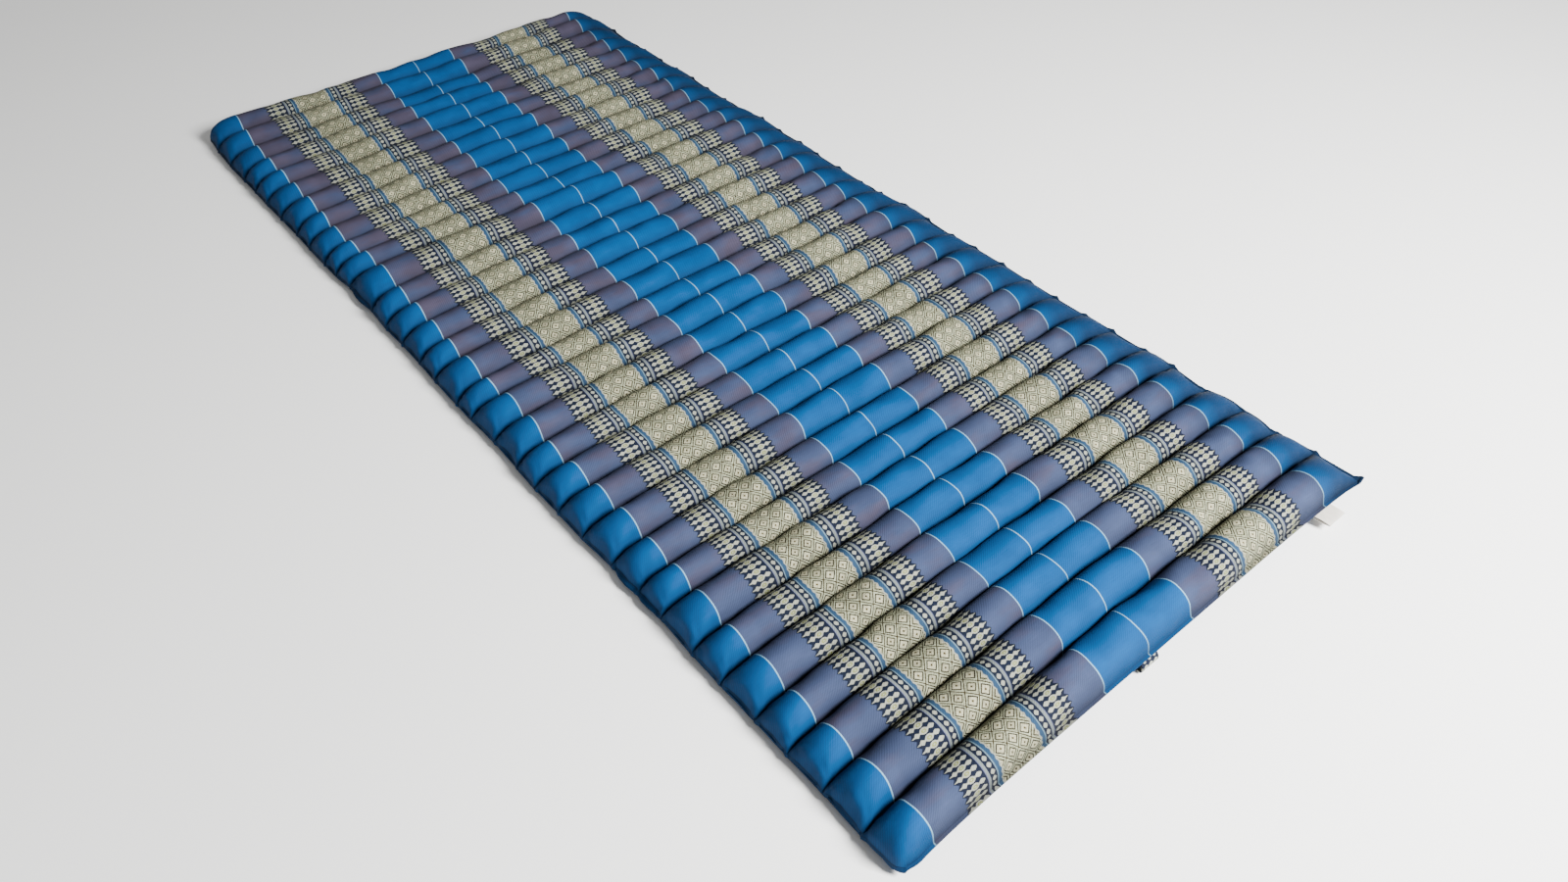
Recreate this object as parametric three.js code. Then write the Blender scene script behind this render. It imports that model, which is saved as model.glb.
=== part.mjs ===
// A roll-up floor mattress: stuffed cloth tubes lie side by side, sewn to each other along stitch lines.
// Millimetres, +Z up. The tubes run along X, the mattress is long in Y, and its near end faces -Y.
// The origin is the middle of the underside, on the flat of the middle tube.
import * as THREE from 'three';

// The whole mattress
const bodyWidth = 838; // across the mattress, between its two long seams
const seamHeight = 19; // the stitch lines above the floor
const sideSeamHeight = 14; // the long seams sag lower than the stitch lines
const crestHeight = 47; // top of a tube of average width above the floor
const web = 3; // top and bottom cloth sewn together
const flange = 4; // seam allowance that stands out all round
const averageTube = 57.6;
const widestTube = 64; // a tube wider than this is no higher

// The closed ends of the tubes
const footRound = 30; // a tube's flat foot starts this far from its end
const pullReach = 70; // the draw of the end seam is felt this far from it
// reach: a tube is full this far in, and curve shapes its rise to there. pullIn: how far the end is drawn
// in between two stitch lines. The seam allowance stands out by lip, its edge droops by droop, and beside
// a stitch line it stands farther out and up by ear.
const tubeEnds = {
  left: { reach: 46, curve: [2.2, 2.2], pullIn: 3, lip: 1.5, droop: 3, ear: [0, 0] },
  right: { reach: 66, curve: [1.8, 1], pullIn: 1.5, lip: 3, droop: 0, ear: [3, 3] },
};
const nearSeam = -949; // Y of the near end seam at its corners
const nearBow = 6.5; // and it bends in this much between them

// One row for each tube, near end first. width: at the middle of the mattress. left and right: how far
// its far stitch line strays towards the near end there. leftEnd and rightEnd: how far its closed ends
// stand out past the long seams.
const tubes = [
  [70, 9, 2, 9, 6], [61, 7, 5, 4, 10], [57, 6, 6, 6, -5], [55, 6, 2, 6, -9], [58, 2, -2, 5, 4],
  [55, 2, 0, 7, 14], [57, -4, -2, 5, 4], [56, 0, 1, 2, 10], [56, 0, -2, 1, 4],
  [63, 0, 3, 6, 6], [57, 0, 1, 8, 8], [58, 0, -3, 7, 8], [58, 6, 4, 9, 9], [57, 1, 1, 4, 2],
  [60, -1, 1, 6, 14], [54, 8, 1, 7, 6], [60, 2, 8, 8, -1], [54, 5, 2, 6, 4], [58, 5, -2, 5, 1],
  [58, 8, 2, 6, 10], [56, 9, 0, 7, 4], [62, -5, 2, 0, 11], [52, 1, 4, 7, 10],
  [56, 11, 3, 8, -1], [54, 5, -2, 10, 3], [60, 12, 3, 8, 3], [58, 6, 4, 9, 10],
  [52, 0, 4, 10, 0], [62, 7, 5, 11, 8], [56, 10, 7, 10, -2], [50, -1, -5, 12, 3],
  [62, -5, -3, 11, 9], [57, -13, 10, 8, 1],
].map(([width, left, right, leftEnd, rightEnd]) => ({ width, left, right, leftEnd, rightEnd }));
const strayStation = 340; // where left and right were read, from the middle
const nearCorner = { leftEnd: -6, rightEnd: 7 }; // the near right corner is an ear, the others are round
const farCorner = { leftEnd: 2, rightEnd: -9 };
const corners = [ // how far from each corner it is rounded, and its share of a full round
  { sideX: -1, sideY: -1, reach: 26, share: 0.85 }, { sideX: 1, sideY: -1, reach: 8, share: 0.5 },
  { sideX: -1, sideY: 1, reach: 26, share: 0.7 }, { sideX: 1, sideY: 1, reach: 20, share: 0.5 },
];

// The section of a tube, from stitch line to stitch line: how far across it a point lies, from -1 to 1,
// and its share of the tube's height over the stitches, or of its depth under them
const crestSteps = 8;
const shoulder = 0.78; // below 1 the tube is fuller at its shoulders than a circle
const crest = Array.from({ length: crestSteps }, (_, i) => {
  const angle = Math.PI * (i / crestSteps - 0.5);
  return { across: Math.sin(angle), share: Math.cos(angle) ** shoulder };
});
const foot = [
  { across: -1, share: 0 }, { across: -0.87, share: 0.72 }, { across: -0.62, share: 1 },
  { across: 0.62, share: 1 }, { across: 0.87, share: 0.72 },
];

// Stations across the mattress, from its middle to the outer edge of the seam allowance
const seamStation = bodyWidth / 2;
const topHalf = [
  200, seamStation - 62, seamStation - 30, seamStation - 14, seamStation - 4, seamStation,
  seamStation + flange,
];
const footHalf = [
  200, seamStation - footRound, seamStation - 12, seamStation, seamStation + flange,
];
const mirrored = (half) => half.map((x) => -x).reverse();
const topStations = [...mirrored(topHalf), 0, ...topHalf];
const footStations = [...mirrored(footHalf), ...footHalf];

// The sewn-in label and the tie, both caught under the seam allowance of the near end
const label = { x: 338, width: 35, thickness: 1, skew: 0.25 };
const tie = { x: -22, width: 30, thickness: 2.6 };
const touch = 0.3; // gap that touching cloth keeps

// Y of stitch line k at x; line 0 is the near end seam and the last one is the far end seam
const stitchStart = tubes.reduce((list, tube) => [...list, list[list.length - 1] + tube.width], [nearSeam]);

function stitchLine(k, x) {
  if (k === 0) return nearSeam + nearBow * (1 - (Math.abs(x) / seamStation) ** 6);
  const { left, right } = tubes[k - 1];
  const stray = x < 0 ? left : right;
  return stitchStart[k] - stray * (Math.abs(x) / strayStation) ** 1.5;
}

// How far the long seam stands out beside tube k, read between the rows of the table
function outstand(k, across, x) {
  const ends = [nearCorner, ...tubes, farCorner].map((row) => (x < 0 ? row.leftEnd : row.rightEnd));
  const place = THREE.MathUtils.clamp(1 + k + across / 2, 0.5, tubes.length + 0.5);
  const before = Math.floor(place);
  return THREE.MathUtils.lerp(ends[before], ends[Math.min(before + 1, ends.length - 1)], place - before);
}

// From 0 inside the mattress to 1 at its long seams
function nearness(station, reach) {
  return THREE.MathUtils.clamp(1 - (seamStation - Math.abs(station)) / reach, 0, 1);
}

function seamLevel(station) {
  return THREE.MathUtils.lerp(seamHeight, sideSeamHeight, nearness(station, footRound));
}

const endAt = (station) => (station < 0 ? tubeEnds.left : tubeEnds.right);

// How full a tube is, from 0 at its closed end to 1 inside
function fullness(station, reach, [rise, top]) {
  const inside = THREE.MathUtils.clamp((seamStation - Math.abs(station)) / reach, 0, 1);
  return (1 - (1 - inside) ** rise) ** (1 / top);
}

// From 0 inside a tube to about 1 at its stitch lines, each ear of the allowance a little different
function earShare({ k, across }) {
  const share = Math.max(0, (Math.abs(across) - 0.75) / 0.25);
  return share * (1 + 0.35 * Math.sin(2.9 * (k + (across > 0 ? 1 : 0))));
}

// How far the edge of a long seam's allowance lies above the seam
function lipRise(row, station) {
  if (Math.abs(station) <= seamStation) return 0;
  const { droop, ear } = endAt(station);
  return ear[1] * earShare(row) - droop;
}

// A wide tube lies a little higher than a narrow one, and each is stuffed unevenly along its length
function crestRise(k, x, level) {
  const rise = crestHeight - level - web / 2;
  const byWidth = Math.sqrt(Math.min(tubes[k].width, widestTube) / averageTube);
  const stuffing = 1 + 0.02 * Math.sin(x / 95 + 1.9 * k) - 0.02 * Math.cos(2.7 * k);
  return rise * byWidth * stuffing;
}

// A row of points runs along the tubes: tube k, a point of its section, and how far it stands outside
function sheetRows(section) {
  const rows = [{ k: 0, across: -1, share: 0, out: -flange }];
  tubes.forEach((tube, k) => section.forEach((point) => rows.push({ k, ...point, out: 0 })));
  rows.push({ k: tubes.length - 1, across: 1, share: 0, out: 0 });
  rows.push({ k: tubes.length - 1, across: 1, share: 0, out: flange });
  return rows;
}

// A point of the mattress in plan, before its corners are rounded
function squarePlan(row, station) {
  const near = stitchLine(row.k, station);
  const far = stitchLine(row.k + 1, station);
  const y = (near + far) / 2 + (row.across * (far - near)) / 2 + row.out;
  const { pullIn, lip, ear } = endAt(station);
  let out = outstand(row.k, row.across, station) - pullIn * (1 - row.across ** 2);
  out *= nearness(station, pullReach);
  if (Math.abs(station) > seamStation) out += seamStation + lip + ear[0] * earShare(row) - Math.abs(station);
  return { x: station + Math.sign(station) * out, y };
}

function plan(row, station) {
  const point = squarePlan(row, station);
  corners.forEach(({ sideX, sideY, reach, share }) => {
    const k = sideY < 0 ? 0 : tubes.length - 1;
    const tip = squarePlan({ k, across: sideY, out: sideY * flange }, sideX * (seamStation + flange));
    const a = 1 - ((tip.x - point.x) * sideX) / reach;
    const b = 1 - ((tip.y - point.y) * sideY) / reach;
    if (a <= 0 || b <= 0) return;
    const shrink = 1 + share * (Math.max(a, b) / Math.hypot(a, b) - 1);
    point.x = tip.x + sideX * (a * shrink - 1) * reach;
    point.y = tip.y + sideY * (b * shrink - 1) * reach;
  });
  return point;
}

function topPoint(row, station) {
  const { x, y } = plan(row, station);
  const level = seamLevel(station);
  const { reach, curve } = endAt(station);
  const rise = row.share * fullness(station, reach, curve) * crestRise(row.k, x, level);
  return new THREE.Vector3(x, y, level + web / 2 + rise + lipRise(row, station));
}

function footPoint(row, station) {
  const { x, y } = plan(row, station);
  const depth = seamLevel(station) - web / 2 + lipRise(row, station);
  return new THREE.Vector3(x, y, depth * (1 - row.share * fullness(station, footRound, [2, 2])));
}

// A grid of points as triangles, turned over for the sheet that faces down
function addSheet(triangles, grid, facesUp) {
  for (let i = 0; i + 1 < grid.length; i += 1) {
    for (let j = 0; j + 1 < grid[i].length; j += 1) {
      const [a, b] = [grid[i][j], grid[i][j + 1]];
      const [c, d] = [grid[i + 1][j + 1], grid[i + 1][j]];
      if (facesUp) triangles.push([a, b, c], [a, c, d]);
      else triangles.push([a, c, b], [a, d, c]);
    }
  }
}

// A strip that joins two lines of points whose ends lie over each other
function addStrip(triangles, upper, lower, axis) {
  let [i, j] = [0, 0];
  while (i + 1 < upper.length || j + 1 < lower.length) {
    const stepUpper = j + 1 === lower.length
      || (i + 1 < upper.length && upper[i + 1][axis] <= lower[j + 1][axis]);
    if (stepUpper) {
      triangles.push([upper[i], lower[j], upper[i + 1]]);
      i += 1;
    } else {
      triangles.push([upper[i], lower[j], lower[j + 1]]);
      j += 1;
    }
  }
}

function geometryOf(triangles) {
  const positions = triangles.flat().flatMap((p) => [p.x, p.y, p.z]);
  const geometry = new THREE.BufferGeometry();
  geometry.setAttribute('position', new THREE.Float32BufferAttribute(positions, 3));
  geometry.computeVertexNormals();
  return geometry;
}

function mattressGeometry() {
  const top = sheetRows(crest).map((row) => topStations.map((x) => topPoint(row, x)));
  const under = sheetRows(foot).map((row) => footStations.map((x) => footPoint(row, x)));
  const triangles = [];
  addSheet(triangles, top, true);
  addSheet(triangles, under, false);
  const column = (grid, j) => grid.map((row) => row.at(j));
  const walls = [
    { upper: top.at(0), lower: under.at(0), axis: 'x', outward: true },
    { upper: top.at(-1), lower: under.at(-1), axis: 'x', outward: false },
    { upper: column(top, 0), lower: column(under, 0), axis: 'y', outward: false },
    { upper: column(top, -1), lower: column(under, -1), axis: 'y', outward: true },
  ];
  walls.forEach(({ upper, lower, axis, outward }) => {
    const strip = [];
    addStrip(strip, upper, lower, axis);
    triangles.push(...(outward ? strip : strip.map(([a, b, c]) => [a, c, b])));
  });
  return geometryOf(triangles);
}

// A strip of cloth of even thickness that follows a line in the YZ plane, centred on X = 0
function ribbonGeometry(line, width, thickness) {
  const curve = new THREE.CatmullRomCurve3(line.map(([y, z]) => new THREE.Vector3(0, y, z)));
  const points = curve.getPoints(line.length * 3);
  const offset = (side) => points.map((p, i) => {
    const ahead = points[Math.min(i + 1, points.length - 1)];
    const behind = points[Math.max(i - 1, 0)];
    const along = new THREE.Vector2(ahead.y - behind.y, ahead.z - behind.z).normalize();
    return new THREE.Vector2(p.y - (side * along.y * thickness) / 2, p.z + (side * along.x * thickness) / 2);
  });
  const outline = new THREE.Shape([...offset(1), ...offset(-1).reverse()]);
  const geometry = new THREE.ExtrudeGeometry(outline, { depth: width, bevelEnabled: false });
  geometry.translate(0, 0, -width / 2);
  // the outline's X and Y become Y and Z, and the depth becomes X
  geometry.applyMatrix4(new THREE.Matrix4().set(0, 0, 1, 0, 1, 0, 0, 0, 0, 1, 0, 0, 0, 0, 0, 1));
  return geometry;
}

const seamUnder = seamHeight - web / 2 - touch; // cloth caught under the seam allowance stays below this

// The label is a loop: out from the seam, over its fold and back; lengths run out from the seam
function labelGeometry() {
  const upper = seamUnder - label.thickness / 2;
  const line = [
    [-2.6, upper], [-8, upper - 0.4], [-16, upper - 1.6], [-22, upper - 3], [-24, upper - 4.3],
    [-22, upper - 5.2], [-15, upper - 4.6], [-8, upper - 4], [-2.6, upper - 3.8],
  ];
  const geometry = ribbonGeometry(line, label.width, label.thickness);
  return geometry.applyMatrix4(new THREE.Matrix4().makeShear(0, 0, -label.skew, 0, 0, 0));
}

// The tie leaves the same seam, turns down outside the tube, and its free end is tucked back under it
function tieGeometry() {
  const half = tie.thickness / 2;
  const line = [
    [-1, seamUnder - half], [-3.6, seamUnder - half - 0.5], [-6.3, seamUnder - 5.5], [-6.8, 7],
    [-4.6, half + 1], [-0.5, half + 0.1], [4, half + 0.1],
  ];
  return ribbonGeometry(line, tie.width, tie.thickness);
}

const cloths = {
  mattress: { color: 0x1f74b4, roughness: 0.6 },
  label: { color: 0xe6e2da, roughness: 0.7 },
  tie: { color: 0xc9c8b0, roughness: 0.85 },
};

function piece(name, geometry, x = 0, y = 0) {
  const material = new THREE.MeshStandardMaterial({ ...cloths[name], metalness: 0 });
  const mesh = new THREE.Mesh(geometry, material);
  mesh.name = name;
  mesh.position.set(x, y, 0);
  return mesh;
}

const model = new THREE.Group();
model.add(piece('mattress', mattressGeometry()));
model.add(piece('label', labelGeometry(), label.x, stitchLine(0, label.x)));
model.add(piece('tie', tieGeometry(), tie.x, stitchLine(0, tie.x)));

export default model;
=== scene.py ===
import math

import bpy
import numpy as np
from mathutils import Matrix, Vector


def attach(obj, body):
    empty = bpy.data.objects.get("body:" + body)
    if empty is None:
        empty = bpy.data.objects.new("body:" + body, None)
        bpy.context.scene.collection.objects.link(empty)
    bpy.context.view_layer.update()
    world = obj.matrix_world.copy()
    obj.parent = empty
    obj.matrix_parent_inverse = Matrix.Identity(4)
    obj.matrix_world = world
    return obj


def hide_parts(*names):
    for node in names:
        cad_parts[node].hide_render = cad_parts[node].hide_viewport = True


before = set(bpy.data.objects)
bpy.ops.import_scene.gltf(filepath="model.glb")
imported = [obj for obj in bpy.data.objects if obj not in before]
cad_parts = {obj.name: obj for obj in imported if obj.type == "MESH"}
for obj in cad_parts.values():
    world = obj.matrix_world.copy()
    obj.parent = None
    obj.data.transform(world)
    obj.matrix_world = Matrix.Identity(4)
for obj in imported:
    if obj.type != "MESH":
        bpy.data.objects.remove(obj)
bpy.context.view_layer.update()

mm = 0.001
print("frame loaded")


# Camera at the photo's viewing angle, in metres and degrees
camera = {
    "place": (-0.843, -1.275, 1.136),
    "turn": (45.575, 0.317, -39.867),
    "lens": 26.37,
    "sensor": 36,
    "nearest": 0.01,
}


def addCamera():
    bpy.ops.object.camera_add(location=camera["place"])
    lookout = bpy.context.object
    lookout.name = "photoCamera"
    lookout.rotation_euler = [math.radians(angle) for angle in camera["turn"]]
    lookout.data.lens = camera["lens"]
    lookout.data.sensor_width = camera["sensor"]
    lookout.data.clip_start = camera["nearest"]
    bpy.context.scene.camera = lookout


addCamera()


# The mattress, in millimetres
mattress = {
    "bodyWidth": 838,  # across, between the two long seams
    "seamHeight": 19,
    "sideSeamHeight": 14,
    "crestHeight": 48.5,
    "web": 1.6,  # two layers of cloth sewn together
    "flange": 4,  # seam allowance all round
    "averageTube": 57.6,
    "widestTube": 64,  # a tube wider than this is no higher
    "uneven": 0.02,  # share by which the crests rise and fall
    "unevenLength": 95,
    "unevenTurn": (1.9, 2.7),  # from tube to tube
    "footRound": 30,  # a tube's flat foot starts this far from its end
    "pullReach": 70,  # the draw of the long seams is felt this far from them
    "nearSeam": -949,
    "nearBow": 6.5,  # the near seam bends in by this much between its corners
    "nearBowCurve": 6,
    "strayStation": 340,  # where the stray of the stitch lines was read, from the middle
    "strayCurve": 1.5,
    "weaveRead": (-358, 0, 358),  # where the weave's places were read, from the middle
    "cornerEar": 2.6,  # how many times as large the near right ear is
    "stationCount": 30,  # from a long seam to the middle
    "stationSteps": (0.15, 0.85),  # their even share and the share that grows towards the middle
    "shoulder": 0.66,  # below 1 a tube is fuller at its shoulders than a circle
    "crestAngles": (-90, -80, -62, -38, -13, 13, 38, 62, 80),
    "footAcross": (-1, -0.8, 0.8),
    "footShare": (0, 1, 1),
    "farSide": 0.6,  # the far side of a tube counts as this much nearer to its stitch line
    "crease": 0.9,
    "pressGap": 0.15,
    "settle": 0.8,  # its own weight presses it down by this
}

# The closed ends of the tubes at the left and right: how far in a tube is full, the curve of its rise
# and how far it is drawn in between two stitch lines, and how much rounder its section gets; then the
# seam allowance: how far it stands out, how far its edge droops, and how much farther out and up it
# stands beside a stitch line
tubeEnds = {
    "left": {"reach": 46, "curve": (2.2, 2.0), "pullIn": 3, "rounder": 0.6,
             "lip": 1.5, "droop": 3, "ear": (0, 0)},
    "right": {"reach": 66, "curve": (1.8, 1), "pullIn": 1.5, "rounder": 0,
              "lip": 3, "droop": 0, "ear": (2.4, 1.8)},
}

# One row for each tube, near end first: its width, how far its far stitch line strays towards the
# near end at the left and right, how far its left and right ends stand out, and how far the weave
# lies to the left on it at its left, middle and right
tubeRows = [
    (70, 9, 2, 9, 6, 19, 20, 13), (61, 7, 5, 4, 10, 18, 14, 14), (57, 6, 6, 6, -5, 20, 15, 14),
    (55, 6, 2, 6, -9, 21, 18, 15), (58, 2, -2, 5, 4, 20, 18, 14), (55, 2, 0, 7, 14, 20, 20, 16),
    (57, -4, -2, 5, 4, 18, 20, 19), (56, 0, 1, 2, 10, 16, 19, 19), (56, 0, -2, 1, 4, 16, 20, 18),
    (63, 0, 3, 6, 6, 14, 16, 16), (57, 0, 1, 8, 8, 14, 16, 16), (58, 0, -3, 7, 8, 16, 16, 18),
    (58, 6, 4, 9, 9, 20, 18, 20), (57, 1, 1, 4, 2, 16, 16, 15), (60, -1, 1, 6, 14, 13, 16, 14),
    (54, 8, 1, 7, 6, 20, 17, 18), (60, 2, 8, 8, -1, 18, 16, 15), (54, 5, 2, 6, 4, 20, 18, 16),
    (58, 5, -2, 5, 1, 18, 17, 13), (58, 8, 2, 6, 10, 16, 14, 13), (56, 9, 0, 7, 4, 18, 14, 14),
    (62, -5, 2, 0, 11, 12, 12, 10), (52, 1, 4, 7, 10, 14, 15, 13), (56, 11, 3, 8, -1, 20, 18, 16),
    (54, 5, -2, 10, 3, 22, 17, 16), (60, 12, 3, 8, 3, 20, 16, 14), (58, 6, 4, 9, 10, 19, 13, 11),
    (52, 0, 4, 10, 0, 18, 17, 15), (62, 7, 5, 11, 8, 18, 16, 15), (56, 10, 7, 10, -2, 20, 14, 14),
    (50, -1, -5, 12, 3, 18, 12, 10), (62, -5, -3, 11, 9, 14, 10, 7), (57, -13, 10, 8, 1, 8, 4, 1),
]
tubeColumns = ("width", "left", "right", "leftEnd", "rightEnd", "weaveLeft", "weave", "weaveRight")
tubes = [dict(zip(tubeColumns, row)) for row in tubeRows]
nearCorner = {"leftEnd": -6, "rightEnd": 7}
farCorner = {"leftEnd": 2, "rightEnd": -9}
seamStation = mattress["bodyWidth"] / 2
tolerance = 0.001  # in mm, or in tubes


def stitchLine(k, x):
    # Y of a stitch line; line 0 is the near end seam
    start = mattress["nearSeam"] + sum(tube["width"] for tube in tubes[:k])
    if k == 0:
        return start + mattress["nearBow"] * (1 - (abs(x) / seamStation) ** mattress["nearBowCurve"])
    tube = tubes[k - 1]
    stray = tube["left"] if x < 0 else tube["right"]
    return start - stray * (abs(x) / mattress["strayStation"]) ** mattress["strayCurve"]


def nearness(station, reach):
    # from 0 inside to 1 at a long seam
    return min(max(1 - (seamStation - abs(station)) / reach, 0), 1)


def outstand(k, across, x):
    # how far the long seam stands out, read between the rows of the table
    side = "leftEnd" if x < 0 else "rightEnd"
    ends = [row[side] for row in (nearCorner, *tubes, farCorner)]
    place = min(max(1 + k + across / 2, 0.5), len(tubes) + 0.5)
    before = int(place)
    after = min(before + 1, len(ends) - 1)
    return ends[before] + (ends[after] - ends[before]) * (place - before)


def endAt(station):
    return tubeEnds["left" if station < 0 else "right"]


def fullness(station, reach, curve=(2, 2)):
    # from 0 at a tube's closed end to 1 inside
    inside = min(max((seamStation - abs(station)) / reach, 0), 1)
    return (1 - (1 - inside) ** curve[0]) ** (1 / curve[1])


# Where the ear beside a stitch line starts across a tube, the curve of its rise, and how much and how
# fast it changes from line to line
ears = {"from": 0.6, "curve": 1.3, "uneven": 0.35, "turn": 2.9}


def earShare(row):
    # from 0 inside a tube to about 1 at its stitch lines, and more at the near corner
    share = max(0, (abs(row["across"]) - ears["from"]) / (1 - ears["from"])) ** ears["curve"]
    if row["k"] == 0 and row["across"] < 0:
        return share * mattress["cornerEar"]
    return share * (1 + ears["uneven"] * math.sin(ears["turn"] * (row["k"] + (row["across"] > 0))))


def lipRise(row, station):
    if abs(station) <= seamStation:
        return 0
    end = endAt(station)
    return end["ear"][1] * earShare(row) - end["droop"]


def seamLevel(station):
    drop = mattress["seamHeight"] - mattress["sideSeamHeight"]
    return mattress["seamHeight"] - drop * nearness(station, mattress["footRound"])


def planPoint(row, station):
    near = stitchLine(row["k"], station)
    far = stitchLine(row["k"] + 1, station)
    y = (near + far) / 2 + row["across"] * (far - near) / 2 + row["out"]
    end = endAt(station)
    out = outstand(row["k"], row["across"], station) - end["pullIn"] * (1 - row["across"] ** 2)
    out *= nearness(station, mattress["pullReach"])
    if abs(station) > seamStation:
        out += seamStation + end["lip"] + end["ear"][0] * earShare(row) - abs(station)
    return station + math.copysign(out, station), y


def topHeight(row, station, x):
    # the top cloth above the floor
    level = seamLevel(station) + mattress["web"] / 2
    rise = mattress["crestHeight"] - level
    rise *= math.sqrt(min(tubes[row["k"]]["width"], mattress["widestTube"]) / mattress["averageTube"])
    uneven = mattress["uneven"]
    waveTurn, tubeTurn = mattress["unevenTurn"]
    wave = math.sin(x / mattress["unevenLength"] + waveTurn * row["k"])
    rise *= 1 + uneven * wave - uneven * math.cos(tubeTurn * row["k"])
    end = endAt(station)
    full = fullness(station, end["reach"], end["curve"])
    share = row["share"] ** (1 + end["rounder"] * nearness(station, end["reach"]))
    return level + share * full * rise + lipRise(row, station)


def footHeight(row, station, x):
    # the underside above the floor; x is there to match topHeight
    depth = seamLevel(station) - mattress["web"] / 2
    depth += lipRise(row, station)
    return depth * (1 - row["share"] * fullness(station, mattress["footRound"]))


# How much the corners are rounded: reach in mm from each corner, and share of a full round
corners = {
    "nearLeft": {"side": (-1, -1), "reach": 26, "share": 0.85},
    "nearRight": {"side": (1, -1), "reach": 8, "share": 0.5},
    "farLeft": {"side": (-1, 1), "reach": 26, "share": 0.7},
    "farRight": {"side": (1, 1), "reach": 20, "share": 0.5},
}


def roundCorners(x, y):
    lastTube = len(tubes) - 1
    for corner in corners.values():
        sideX, sideY = corner["side"]
        end = {"k": 0, "across": -1, "out": -mattress["flange"]}
        if sideY > 0:
            end = {"k": lastTube, "across": 1, "out": mattress["flange"]}
        tipX, tipY = planPoint(end, sideX * (seamStation + mattress["flange"]))
        reach = corner["reach"]
        a = 1 - (tipX - x) * sideX / reach
        b = 1 - (tipY - y) * sideY / reach
        if a > 0 and b > 0:
            shrink = 1 + corner["share"] * (max(a, b) / math.hypot(a, b) - 1)
            x = tipX + sideX * (a * shrink - 1) * reach
            y = tipY + sideY * (b * shrink - 1) * reach
    return x, y


def sheetRows(section):
    # a row of points for each place of the section, with the seam allowance at both ends
    last = len(tubes) - 1
    rows = [{"k": 0, "across": -1, "share": 0, "out": -mattress["flange"]}]
    for k in range(len(tubes)):
        rows += [{"k": k, "across": a, "share": s, "out": 0} for a, s in section]
    rows += [{"k": last, "across": 1, "share": 0, "out": 0}]
    rows += [{"k": last, "across": 1, "share": 0, "out": mattress["flange"]}]
    return rows


def stations():
    # places across the mattress, closer together towards the long seams
    count = mattress["stationCount"]
    steps = [i / (count - 1) for i in range(count)]
    even, growing = mattress["stationSteps"]
    half = [seamStation * (1 - even * t - growing * t * t) for t in steps]
    right = [seamStation + mattress["flange"], *half[:-1]]
    return [-x for x in right] + [0] + right[::-1]


def rowLengths(rows, height):
    # length of cloth over the rows at the middle of the mattress
    points = [Vector((planPoint(row, 0)[1], height(row, 0, 0))) for row in rows]
    lengths = [0]
    for a, b in zip(points, points[1:]):
        lengths.append(lengths[-1] + (b - a).length)
    return lengths


def stationLengths(columns):
    # length of cloth along the crest of the middle tube, from the middle
    row = {"k": len(tubes) // 2, "across": 0, "share": 1, "out": 0}
    points = [Vector((x, topHeight(row, x, x))) for x in columns]
    middle = len(columns) // 2
    lengths = [0] * len(columns)
    for i in range(middle + 1, len(columns)):
        lengths[i] = lengths[i - 1] + (points[i] - points[i - 1]).length
        lengths[-1 - i] = -lengths[i]
    return lengths


def weavePlace(along, count):
    # the weave lies askew: to the left by a little more or less along each tube
    middles = [k + 0.5 for k in range(len(tubes))]
    shifts = [np.interp(count, middles, [tube[side] for tube in tubes])
              for side in ("weaveLeft", "weave", "weaveRight")]
    return along + np.interp(along, mattress["weaveRead"], shifts)


def seamDistance(row, j, over, station, perTube):
    # distance over the cloth to the nearest stitch line (a far one counts as nearer, because its side
    # is turned from the light), and to the outer seam (less than 0 outside it); the painted shade in
    # the cover's colour is set by these
    if row["out"]:
        return 0, -mattress["flange"]
    first = 1 + row["k"] * perTube
    toFar = mattress["farSide"] * (over[first + perTube] - over[j])
    toStitch = min(over[j] - over[first], toFar)
    if j == len(over) - 2:
        toStitch = 0
    return toStitch, min(seamStation - abs(station), over[j] - over[1], over[-2] - over[j])


def clothSheet(name, section, height, underside):
    # a flat grid shaped row by row; each point keeps its place in the cloth, across and along in mm,
    # its station, and its place counted in tubes
    rows = sheetRows(section)
    columns = stations()
    bpy.ops.object.select_all(action="DESELECT")
    bpy.ops.mesh.primitive_grid_add(
        x_subdivisions=len(columns) - 1, y_subdivisions=len(rows) - 1, size=2)
    sheet = bpy.context.object
    sheet.name = name
    mesh = sheet.data
    along = stationLengths(columns)
    over = rowLengths(rows, height)
    middle = over[-1] / 2
    cloth = mesh.attributes.new("clothPlace", "FLOAT_VECTOR", "POINT")
    tube = mesh.attributes.new("tubePlace", "FLOAT_VECTOR", "POINT")
    seam = mesh.attributes.new("seamPlace", "FLOAT_VECTOR", "POINT")
    for vertex in mesh.vertices:
        i = round((vertex.co.x + 1) / 2 * (len(columns) - 1))
        j = round((vertex.co.y + 1) / 2 * (len(rows) - 1))
        row = rows[j]
        x, y = roundCorners(*planPoint(row, columns[i]))
        vertex.co = (x * mm, y * mm, height(row, columns[i], x) * mm)
        count = row["k"] + (row["across"] + 1) / 2
        u = weavePlace(along[i], count)
        cloth.data[vertex.index].vector = (u, over[j] - middle, underside)
        tube.data[vertex.index].vector = (columns[i], count, row["out"])
        toStitch, toSeam = seamDistance(row, j, over, columns[i], len(section))
        seam.data[vertex.index].vector = (toStitch, toSeam, underside)
    return sheet


def selectEdges(mesh, chosen):
    bpy.ops.object.mode_set(mode="EDIT")
    bpy.ops.mesh.select_mode(type="EDGE")
    bpy.ops.mesh.select_all(action="DESELECT")
    bpy.ops.object.mode_set(mode="OBJECT")
    for edge in mesh.edges:
        edge.select = chosen(edge)
    bpy.ops.object.mode_set(mode="EDIT")


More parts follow.
